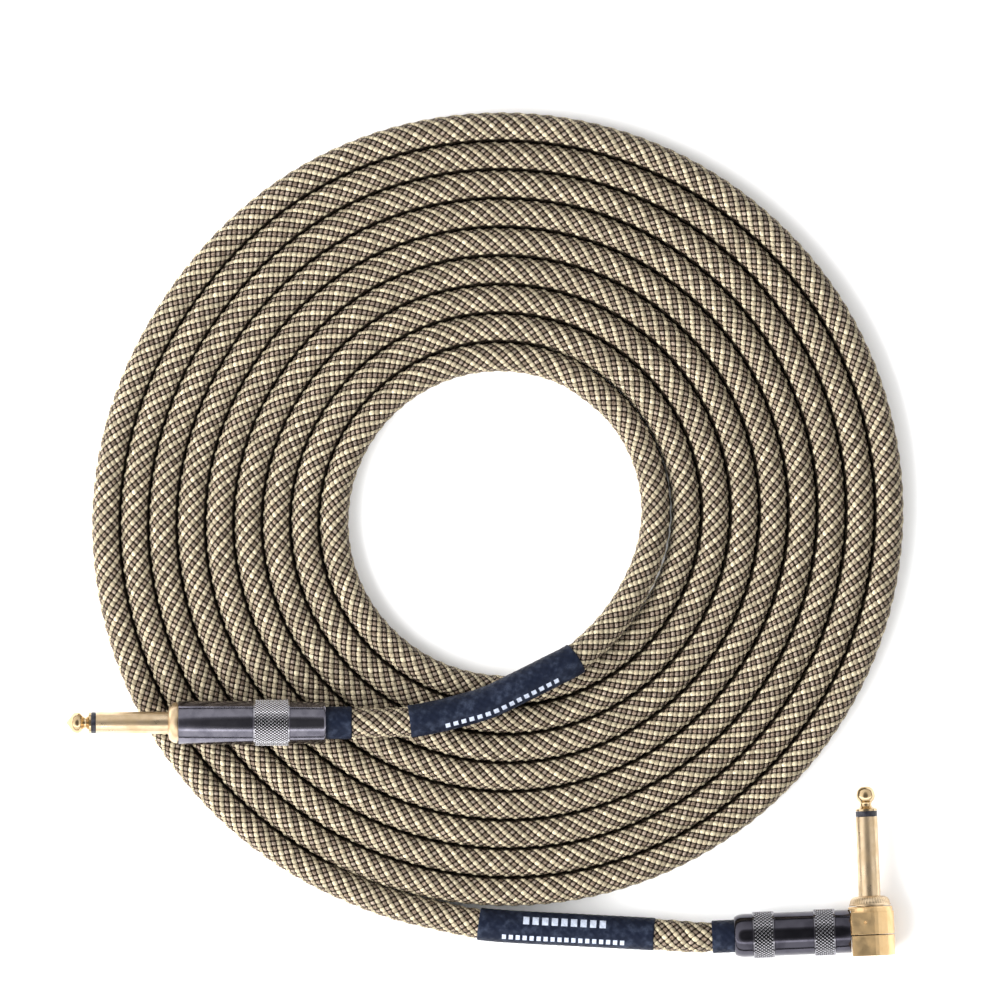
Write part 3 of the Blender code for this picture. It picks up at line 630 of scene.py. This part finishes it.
def woven_material(shares):
    """Glossy yarns, each passing over one and under one, in stripes of cream and brown that run
    along the first way. A brown stripe's stitches are narrower than a cream one's."""
    shader = Shader("woven_jacket", CREAM, 0.5)
    first, second, _ = shader.parts(shader.uv("weave"))
    first_yarn = shader.math("FLOOR", shader.math("ADD", first, 0.5))
    second_yarn = shader.math("FLOOR", shader.math("ADD", second, 0.5))
    first_off = shader.math("SUBTRACT", first, first_yarn)
    second_off = shader.math("SUBTRACT", second, second_yarn)
    second_on_top = shader.math("PINGPONG", shader.math("SUBTRACT", second_yarn, first_yarn), 1.0)
    across = choose(shader, second_on_top, first_off, second_off)
    along = choose(shader, second_on_top, second_off, first_off)
    yarn = choose(shader, second_on_top, first_yarn, second_yarn)
    crossed = choose(shader, second_on_top, second_yarn, first_yarn)

    strand = shader.math("MULTIPLY_ADD", yarn, YARN_SEED, shader.math("MULTIPLY", across, STRANDS))
    run = shader.math("MULTIPLY", shader.math("ADD", along, crossed), STREAK_RUN)
    way = shader.math("MULTIPLY", second_on_top, CROSSING_SEED)
    streaks = shader.noise(shader.vector(strand, run, way), 1.0, 3.0)
    # Painted sheen: along the glossy streaks each colour turns into its lighter shiny copy; the
    # streaks' lower roughness below is real gloss
    painted_sheen = shader.ramp(streaks, *STREAK_PAINTED_SHEEN)
    brown = shader.math("PINGPONG", first_yarn, 1.0)
    over = shader.blend(brown, shader.blend(painted_sheen, CREAM, CREAM_PAINTED_SHEEN),
                        shader.blend(painted_sheen, BROWN, BROWN_PAINTED_SHEEN))
    under = shader.blend(brown, shader.blend(painted_sheen, CREAM_UNDER, CREAM_UNDER_PAINTED_SHEEN),
                         shader.blend(painted_sheen, BROWN_UNDER, BROWN_UNDER_PAINTED_SHEEN))
    # Painted light: where the second way is on top, a stripe takes its under copy, darker on cream
    # and lighter on brown, for the other yarn direction
    colour = shader.blend(second_on_top, over, under)
    crossing = shader.vector(first_yarn, second_yarn, 0.5)
    tone = shader.ramp(shader.noise(crossing, 0.77, 1.0), 0.3, 0.7, *STITCH_TONE)
    colour = shader.blend(1.0, colour, shader.vector(tone, tone, tone), "MULTIPLY")

    off_across = shader.math("ABSOLUTE", across)
    off_along = shader.math("ABSOLUTE", along)
    narrow = shader.math("MULTIPLY", brown, BROWN_NARROWER)
    # Painted shade: seams along the yarns' sides and where they dive under, wider in brown stripes
    # and darker at their dives
    side = shader.ramp(shader.math("ADD", off_across, narrow), *SIDE_SEAM)
    dive = shader.ramp(shader.math("ADD", off_along, narrow), *END_SEAM)
    dive = shader.math("MULTIPLY", dive, shader.math("MULTIPLY_ADD", brown, 0.35, 0.6))
    # Painted shade: near black in the cells' corner holes and, through the crease mask, where turns
    # touch
    spread = shader.math("ADD", shader.math("ADD", off_across, off_along), narrow)
    corner = shader.ramp(spread, *CORNER_HOLE)
    seam_shade = shader.math("MAXIMUM", side, dive)
    painted_shade = shader.math("MAXIMUM", corner, painted_crease_shade(shader, shares))
    colour = shader.blend(seam_shade, colour, SEAM_SHADE)
    shader.drive("Base Color", shader.blend(painted_shade, colour, CREVICE_SHADE))
    shader.drive("Roughness", shader.ramp(streaks, 0.3, 0.7, 0.60, 0.32))
    shader.set("Specular IOR Level", 0.1)

    crown = shader.math("POWER", shader.math("MULTIPLY", off_across, 2.0), 1.7)
    fall = shader.math("POWER", shader.math("MULTIPLY", off_along, 2.0), 2.0)
    height = shader.math("MULTIPLY", shader.math("ADD", crown, fall), -0.6)
    shader.bump(shader.math("MULTIPLY_ADD", streaks, 0.35, height), STITCH_RELIEF)
    return shader.material


def dash_row(shader, start, end, middle, half, count, filled):
    """Where a row of dashes is printed on a sleeve."""
    along, around, _ = shader.parts(shader.uv("place"))
    off = shader.math("ABSOLUTE", shader.math("SUBTRACT", around, middle))
    row = shader.ramp(off, half, half * ROW_SOFTNESS)
    reach = shader.math("MULTIPLY", shader.ramp(along, start, start + REACH_SOFTNESS),
                        shader.ramp(along, end, end - REACH_SOFTNESS))
    step = shader.math("FRACT", shader.math("MULTIPLY", shader.math("SUBTRACT", along, start),
                                            count / (end - start)))
    dash = shader.ramp(step, filled, filled - DASH_SOFTNESS)
    return shader.math("MULTIPLY", shader.math("MULTIPLY", row, reach), dash)


def shrink_tube_material(name, dashes=()):
    """Dull blue-black shrink tube that shows the braid under it, with rows of plain dashes."""
    shader = Shader(name, SHRINK, 0.5)
    first, second, _ = shader.parts(shader.uv("weave"))
    mottle = shader.noise(shader.place(), TUBE_CLOUD, 5.0)
    fine = shader.noise(shader.place(), TUBE_GRAIN, 2.0)
    rubbed = shader.math("MULTIPLY", shader.ramp(mottle, 0.42, 0.72),
                         shader.ramp(fine, 0.3, 0.7, 0.5))
    colour = shader.blend(rubbed, SHRINK, SHRINK_WORN)
    for row in dashes:
        ink = shader.math("MULTIPLY", dash_row(shader, *row),
                          shader.ramp(fine, 0.25, 0.55, 0.72))
        colour = shader.blend(ink, colour, PRINT)
    shader.drive("Base Color", colour)
    shader.drive("Roughness", shader.ramp(fine, 0.3, 0.7, 0.42, 0.60))
    shader.set("Specular IOR Level", 0.08)
    ridges = shader.math("ADD", shader.math("COSINE", shader.math("MULTIPLY", first, 2 * math.pi)),
                         shader.math("COSINE", shader.math("MULTIPLY", second, 2 * math.pi)))
    height = shader.math("MULTIPLY_ADD", ridges, 0.16, mottle)
    shader.bump(height, 0.00012)
    return shader.material


def metal_material(name, colour, dark, roughness, grain, grain_scale=(1.0, 1.0, 1.0)):
    """Plated metal with a fine grain and cloudy wear in its colour and gloss. Knurled pieces say
    how deep and how worn they are; on others both are nothing. Deep places get painted shade."""
    shader = Shader(name, colour, roughness, 1.0)
    fine = shader.noise(shader.place(grain_scale), METAL_GRAIN, 3.0)
    cloud = shader.noise(shader.place(), METAL_CLOUD, 3.0)
    plated = shader.blend(shader.ramp(cloud, 0.35, 0.75), colour, dark)
    worn = shader.blend(shader.attribute("crest"), plated, CREST)
    # Painted shade: darker the deeper a point sits in a knurl's groove or between the cone's ridges
    groove_shade = shader.ramp(shader.attribute("depth"), 0.04, 0.15)
    shader.drive("Base Color", shader.blend(groove_shade, worn, GROOVE_SHADE))
    shader.drive("Roughness", shader.ramp(shader.math("MULTIPLY_ADD", fine, 0.5, cloud), 0.4, 1.1,
                                          roughness * 0.75, roughness * 1.5))
    shader.bump(fine, grain)
    return shader.material


def moulded_material(name, colour, lighter, roughness, scale, relief):
    """Plastic, rubber, fibre or solder: a cloudy colour and a faint skin."""
    shader = Shader(name, colour, roughness)
    shader.set("Specular IOR Level", 0.3)
    cloud = shader.noise(shader.place(), scale, 4.0)
    shader.drive("Base Color", shader.blend(shader.ramp(cloud, 0.35, 0.7), colour, lighter))
    shader.drive("Roughness", shader.ramp(cloud, 0.3, 0.7, roughness * 0.85, roughness * 1.2))
    shader.bump(cloud, relief)
    return shader.material


# ---------------------------------------------------------------- the cord and its sleeves

def cord_radii(path):
    """The braid's surface: crests over the yarn crossings, hollows at the cells' corners;
    the cream yarns stand prouder. Near the right-angle plug the braid is a little off the core."""
    k, m = np.meshgrid(np.arange(len(path)), np.arange(2 * YARNS), indexing="ij")
    crown = np.where((k - m) % 4 == 0, CROWN, LOW_CROWN)
    relief = np.where((k - m) % 2 == 0, crown, -HOLLOW)
    run = (np.arange(len(path)) - len(path)) * YARN_SPACING / 2
    swell = SWELL * np.exp(-(((run - SWELL_AT) / SWELL_SPREAD) ** 2))
    return CORD_RADIUS + relief + swell[:, None]


def cord():
    path, length = smooth(route(), YARN_SPACING / 2)
    mesh = tube_mesh("cord", path, cord_radii(path), 2 * YARNS, np.arange(len(path)))
    mesh.materials.append(woven_material(coil_shares(path)))
    piece = new_object("cord", mesh)
    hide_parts("cable_coil", "inner_lead", "outer_lead")
    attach(piece, CABLE)
    return piece, path, length


def sleeve(name, node, path, first, last, material):
    """A shrunk-on sleeve over a stretch of the cord, with rounded ends that hug the braid."""
    step = YARN_SPACING / 2
    length = last - first
    lip = np.array(SLEEVE_LIP)
    runs = np.concatenate([lip, np.arange(lip[-1] + step / 2, length - lip[-1], step / 2),
                           length - lip[::-1]])
    ring = (first + runs) / step
    points = np.column_stack([np.interp(ring, np.arange(len(path)), path[:, i]) for i in range(3)])
    to_end = np.minimum(runs, length - runs)
    rise = 1 - np.clip(1 - to_end / SLEEVE_LIP[-1], 0, 1) ** 2
    radii = SLEEVE_INNER + (SLEEVE_OUTER - SLEEVE_INNER) * rise
    k, m = np.meshgrid(ring, np.arange(SLEEVE_SIDES), indexing="ij")
    around = m * 2 * YARNS / SLEEVE_SIDES
    weave = np.cos(math.pi * (k - around)) + np.cos(math.pi * (k + around))
    radii = radii[:, None] + SLEEVE_RELIEF * weave * (to_end > SLEEVE_LIP[-1])[:, None]
    mesh = tube_mesh(name, points, radii, SLEEVE_SIDES, ring)
    mesh.materials.append(material)
    piece = new_object(name, mesh)
    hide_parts(node)
    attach(piece, CABLE)
    return piece


def run_at(path, point):
    """How far along the cord its centre line passes closest to a point."""
    gaps = np.linalg.norm(path - np.array(point), axis=1)
    return int(np.argmin(gaps)) * YARN_SPACING / 2


def sleeves(path):
    """The two label sleeves and the plain ones behind the plugs; the last is the right-angle
    plug's."""
    start, end = [run_at(path, INNER_ROUTE[i]) for i in INNER_LABEL]
    sleeve("inner_label", "inner_label_sleeve", path, start, end,
           shrink_tube_material("inner_label", INNER_DASHES))
    start, end = [run_at(path, OUTER_ROUTE[i]) for i in OUTER_LABEL]
    sleeve("outer_label", "outer_label_sleeve", path, start, end,
           shrink_tube_material("outer_label", OUTER_DASHES))
    plain = shrink_tube_material("boot_tube")
    start, end = [run_at(path, STRAIGHT @ Vector((0, 0, z))) for z in STRAIGHT_BOOT]
    sleeve("straight_sleeve", "straight_boot", path, start, end, plain)
    start, end = [run_at(path, ANGLE_SHELL @ Vector((0, 0, z))) for z in ANGLE_BOOT[::-1]]
    return sleeve("angle_sleeve", "angle_boot", path, start, end, plain)


# ---------------------------------------------------------------- plugs

def turned_piece(node, body, profile, sides, matrix, material, relief=None, hollow=True):
    """A finely turned piece that stands for a CAD node."""
    mesh = turned_mesh(node + "_turned", profile, sides, matrix, relief, hollow)
    mesh.materials.append(material)
    piece = new_object(node + "_turned", mesh)
    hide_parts(node)
    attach(piece, body)
    return piece


def knurl(bands, count, pitch, depth, worn):
    """Crossed helical grooves that leave pyramids on the bands of a shell, between plain rims.
    The pyramids' tops and the rims are worn bright."""
    def relief(profile, heights, share):
        lift = np.zeros_like(heights)
        crest = np.zeros_like(heights)
        for front, rear in bands:
            turns = (heights - front) / pitch
            pyramid = np.minimum(wave(share * count + turns), wave(share * count - turns))
            on_band = (profile[:, :1] > KNURL_MIN) & (heights <= front) & (heights >= rear)
            cut = on_band & (heights < front - RIM) & (heights > rear + RIM)
            lift = np.where(cut, depth * (np.minimum(KNURL_SLOPE * pyramid, 1) - 1), lift)
            crest = np.where(on_band, np.where(cut, worn, worn * RIM_WEAR), crest)
        return lift, crest
    return relief


def band(front, rear, radius, pitch):
    """A knurled band's profile: rows fine enough for its pyramids, and its two rims."""
    rows = np.arange(front - RIM, rear + RIM, -pitch / KNURL_ROWS)
    points = [(radius, front), (radius, front - RIM + RIM_EDGE)]
    points += [(radius, z) for z in rows]
    return points + [(radius, rear + RIM - RIM_EDGE), (radius, rear)]


def nose(points, end, rod_end):
    """A tip's profile, from its nose to the flange and down the rod."""
    flange = end - TIP_LENGTH
    back = flange - CLOSER
    return [(r, end - z) for r, z in points] + [
        (PIN_RADIUS, flange + TIP_EDGE), (PIN_RADIUS, back), (ROD_RADIUS, back),
        (ROD_RADIUS, rod_end), (0, rod_end)]


def pin_mouth(end, ring):
    """The front of a pin's sleeve, behind the insulator ring, with its rounded edge."""
    top = end - TIP_LENGTH - 2 * GAP - ring + CLOSER
    return [(PIN_BORE, top), (PIN_RADIUS - PIN_EDGE, top),
            (PIN_RADIUS - PIN_EDGE_BULGE, top - PIN_EDGE_BULGE), (PIN_RADIUS, top - PIN_EDGE)]


def shell_mouth(radius):
    """The front of a shell, with its rounded edge."""
    return [(SHELL_BORE, 0), (radius - SHELL_EDGE, 0),
            (radius - SHELL_EDGE_BULGE, -SHELL_EDGE_BULGE), (radius, -SHELL_EDGE)]


def shell_rear(length):
    """The back of a shell, from its outer side to its bore."""
    inside = SHELL_REAR_WALL - length
    return [(SHELL_REAR_HOLE, -length), (SHELL_REAR_HOLE, inside), (SHELL_BORE, inside)]


def straight_plug(gold, gold_tip, gunmetal):
    turned_piece("straight_tip", CABLE, nose(SHARP_NOSE, STRAIGHT_TIP, STRAIGHT_ROD_END),
                 NOSE_SIDES, STRAIGHT, gold_tip, hollow=False)

    profile = pin_mouth(STRAIGHT_TIP, STRAIGHT_RING)
    profile += [(PIN_RADIUS, DOME_TOP), (DOME_NECK, DOME_TOP)]
    profile += bow((DOME_NECK, DOME_TOP), (DOME_RADIUS, GAP), "start", DOME_STEPS)
    profile += [(THREAD_RADIUS, GAP), (THREAD_RADIUS, STRAIGHT_THREAD_END + THREAD_CHAMFER)]
    profile += [(THREAD_RADIUS - THREAD_CHAMFER, STRAIGHT_THREAD_END)]
    profile += [(BOSS_RADIUS, STRAIGHT_THREAD_END), (BOSS_RADIUS, STRAIGHT_BOSS_END)]
    profile += [(PIN_BORE, STRAIGHT_BOSS_END)]
    turned_piece("straight_body", CABLE, profile, BODY_SIDES, STRAIGHT, gold)

    front, rear = STRAIGHT_KNURL
    profile = shell_mouth(STRAIGHT_RADIUS) + [(STRAIGHT_RADIUS, front + SHELL_EDGE)]
    profile += band(front, rear, STRAIGHT_KNURL_RADIUS, STRAIGHT_PITCH)
    profile += [(BEHIND_KNURL, rear - SHELL_EDGE)]
    profile += [(radius, z - STRAIGHT_SHELL) for radius, z in STRAIGHT_REAR]
    profile += shell_rear(STRAIGHT_SHELL)
    relief = knurl([STRAIGHT_KNURL], STRAIGHT_PYRAMIDS, STRAIGHT_PITCH, STRAIGHT_DEPTH,
                   STRAIGHT_WEAR)
    turned_piece("straight_shell", "straight_shell_body", profile,
                 KNURL_ROWS * STRAIGHT_PYRAMIDS, STRAIGHT, gunmetal, relief)


def cone_ridges(profile, heights, share):
    """Fine upright ridges round the cone; nothing on it is worn bright."""
    low, high = RIDGED
    on_cone = (heights < high) & (heights > low) & (profile[:, :1] > RIDGE_MIN)
    lift = np.where(on_cone, RIDGE_DEPTH * (wave(share * RIDGES) - 1), 0.0)
    return lift, np.zeros_like(heights)


def angle_plug(gold, gold_tip, gunmetal):
    """The turned pieces of the right-angle plug, in the order tip, pin sleeve, shell."""
    tip = turned_piece("angle_tip", CABLE, nose(BLUNT_NOSE, ANGLE_TIP, ANGLE_ROD_END),
                       NOSE_SIDES, ANGLE_PIN, gold_tip, hollow=False)

    profile = pin_mouth(ANGLE_TIP, ANGLE_RING)
    profile += [(PIN_RADIUS, CONE_TOP), (CONE_NECK, CONE_TOP)]
    profile += bow((CONE_NECK, CONE_TOP), CONE_BASE, "start", CONE_STEPS)
    profile += [(COLLAR_RADIUS, COLLAR_TOP), (COLLAR_RADIUS, COLLAR_BASE)]
    profile += [(SPIGOT_RADIUS, COLLAR_BASE), (SPIGOT_RADIUS, SPIGOT_END), (PIN_BORE, SPIGOT_END)]
    pin_sleeve = turned_piece("angle_pin_sleeve", CABLE, profile, KNURL_ROWS * RIDGES, ANGLE_PIN,
                              gold, cone_ridges)

    profile = shell_mouth(ANGLE_RADIUS)
    for front, rear in ANGLE_KNURLS:
        profile += [(ANGLE_RADIUS, front + SHELL_EDGE)]
        profile += band(front, rear, ANGLE_KNURL_RADIUS, ANGLE_PITCH)
        profile += [(ANGLE_RADIUS, rear - SHELL_EDGE)]
    shoulder = (ANGLE_RADIUS, REAR_ROUNDING - ANGLE_SHELL_LENGTH)
    rim = (SHELL_REAR_HOLE + REAR_LIP, -ANGLE_SHELL_LENGTH)
    profile += [shoulder] + bow(shoulder, rim, "end", REAR_STEPS) + shell_rear(ANGLE_SHELL_LENGTH)
    relief = knurl(ANGLE_KNURLS, ANGLE_PYRAMIDS, ANGLE_PITCH, ANGLE_DEPTH, ANGLE_WEAR)
    shell = turned_piece("angle_shell", "angle_shell_body", profile, KNURL_ROWS * ANGLE_PYRAMIDS,
                         ANGLE_SHELL, gunmetal, relief)
    return [tip, pin_sleeve, shell]


def finish_cad_nodes(painted_light_gold_block):
    """Materials for the CAD nodes that are kept as they are."""
    brass = metal_material("stamped_brass", colour=(0.70, 0.55, 0.29), dark=(0.52, 0.38, 0.18),
                           roughness=0.38, grain=0.00003)
    copper = metal_material("copper_strand", colour=(0.74, 0.36, 0.21), dark=(0.45, 0.19, 0.10),
                            roughness=0.35, grain=0.00010, grain_scale=(1.0, 0.2, 1.0))
    solder = metal_material("solder_joint", colour=(0.60, 0.61, 0.63), dark=(0.42, 0.43, 0.46),
                            roughness=0.30, grain=0.00005)
    black = moulded_material("black_insulator", colour=(0.012, 0.012, 0.016),
                             lighter=(0.03, 0.03, 0.038), roughness=0.32, scale=900.0,
                             relief=0.00003)
    fibre = moulded_material("fibre_board", colour=(0.30, 0.13, 0.07), lighter=(0.42, 0.21, 0.12),
                             roughness=0.8, scale=1500.0, relief=0.00008)
    rubber = moulded_material("inner_jacket", colour=(0.016, 0.016, 0.017),
                              lighter=(0.04, 0.04, 0.042), roughness=0.62, scale=1100.0,
                              relief=0.00006)
    core = moulded_material("core_insulation", colour=(0.70, 0.70, 0.66),
                            lighter=(0.84, 0.84, 0.80), roughness=0.45, scale=700.0,
                            relief=0.00003)
    film = moulded_material("liner_film", colour=(0.62, 0.64, 0.66), lighter=(0.75, 0.77, 0.79),
                            roughness=0.25, scale=500.0, relief=0.00002)
    looks = {"tip_insulator": black, "washer": fibre, "tip_lug": brass, "ground_clamp": brass,
             "core_wire": copper, "shield_drain": copper, "core_solder": solder,
             "shield_solder": solder, "jacket_end": rubber, "core_insulation": core,
             "liner": film}
    for plug in ("straight", "angle"):
        for piece, material in looks.items():
            dress(f"{plug}_{piece}", material)
    # The elbow's body and cap get the lighter gold, which is painted light
    dress("angle_body", painted_light_gold_block)
    dress("angle_cap", painted_light_gold_block)


def dress(node, material):
    for slot in frame["nodes"][node].material_slots:
        slot.material = material


# ---------------------------------------------------------------- floor and light

def floor():
    mesh = bpy.data.meshes.new("floor")
    corners = [(x * FLOOR_HALF, y * FLOOR_HALF, 0) for x, y in ((-1, -1), (1, -1), (1, 1), (-1, 1))]
    mesh.from_pydata(corners, [], [(0, 1, 2, 3)])
    shader = Shader("floor", FLOOR, 0.9)
    shader.set("Specular IOR Level", 0.1)
    mesh.materials.append(shader.material)
    new_object("floor", mesh)


def sky():
    """A dome of soft light: dim straight overhead, bright half way down, dark at the horizon and
    stronger at the lower left, with a brighter strip that crosses it from left to right."""
    world = bpy.data.worlds.new("world")
    world.use_nodes = True
    bpy.context.scene.world = world
    nodes = Nodes(world.node_tree)
    direction = nodes.tree.nodes.new("ShaderNodeTexCoord").outputs["Generated"]
    ramp = nodes.tree.nodes.new("ShaderNodeValToRGB")
    ramp.color_ramp.interpolation = "EASE"
    stops = ramp.color_ramp.elements
    for height, _ in SKY_LEVELS[1:-1]:
        stops.new(height)
    for stop, (_, level) in zip(stops, SKY_LEVELS):
        stop.color = (level, level, level, 1)
    nodes.feed(ramp.inputs[0], nodes.parts(direction)["Z"])
    strength = nodes.math("MULTIPLY_ADD", nodes.dot(direction, SKY_LEAN), SKY_STRENGTH,
                          SKY_STRENGTH)
    off_strip = nodes.math("ABSOLUTE", nodes.dot(direction, STRIP_AXIS))
    strip = nodes.ramp(off_strip, *STRIP_EDGE, 1.0, 1.0 + STRIP_GAIN)
    background = nodes.tree.nodes["Background"]
    nodes.feed(background.inputs["Color"], ramp.outputs[0])
    nodes.feed(background.inputs["Strength"], nodes.math("MULTIPLY", strength, strip))
    bpy.context.scene.view_settings.view_transform = "Standard"


def key_light():
    data = bpy.data.lights.new("key", "AREA")
    data.shape = "RECTANGLE"
    data.size, data.size_y = KEY_SIZE
    data.energy = KEY_POWER
    light = bpy.data.objects.new("key", data)
    level = math.cos(KEY_ELEVATION)
    towards = Vector((math.cos(KEY_AZIMUTH) * level, math.sin(KEY_AZIMUTH) * level,
                      math.sin(KEY_ELEVATION)))
    light.location = towards * KEY_DISTANCE
    light.visible_glossy = False
    light.rotation_euler = towards.to_track_quat("Z", "Y").to_euler()
    bpy.context.scene.collection.objects.link(light)


camera()
CORD, PATH, LENGTH = cord()
ANGLE_SLEEVE = sleeves(PATH)
GOLD = metal_material("gold_plate", colour=(0.70, 0.545, 0.365), dark=(0.585, 0.435, 0.265),
                      roughness=0.31, grain=0.000006)
GOLD_TIP = metal_material("gold_tip", colour=(0.62, 0.47, 0.285), dark=(0.50, 0.36, 0.20),
                          roughness=0.16, grain=0.000002)
# Painted light: the elbow's gold is a lighter, more orange copy of the plating, standing in for the
# light its flat faces catch
PAINTED_LIGHT_GOLD_BLOCK = metal_material("painted_light_gold_block", colour=(0.83, 0.585, 0.31), dark=(0.78, 0.535, 0.27),
                            roughness=0.36, grain=0.000001)
BRIGHT_NICKEL = metal_material("bright_black_nickel", colour=(0.175, 0.168, 0.20),
                               dark=(0.11, 0.106, 0.132), roughness=0.13, grain=0.000008)
DARK_NICKEL = metal_material("dark_black_nickel", colour=(0.072, 0.069, 0.086),
                             dark=(0.044, 0.042, 0.054), roughness=0.11, grain=0.000003)
straight_plug(GOLD, GOLD_TIP, BRIGHT_NICKEL)
ANGLE_PIECES = angle_plug(GOLD, GOLD_TIP, DARK_NICKEL)
finish_cad_nodes(PAINTED_LIGHT_GOLD_BLOCK)
floor()
sky()
key_light()
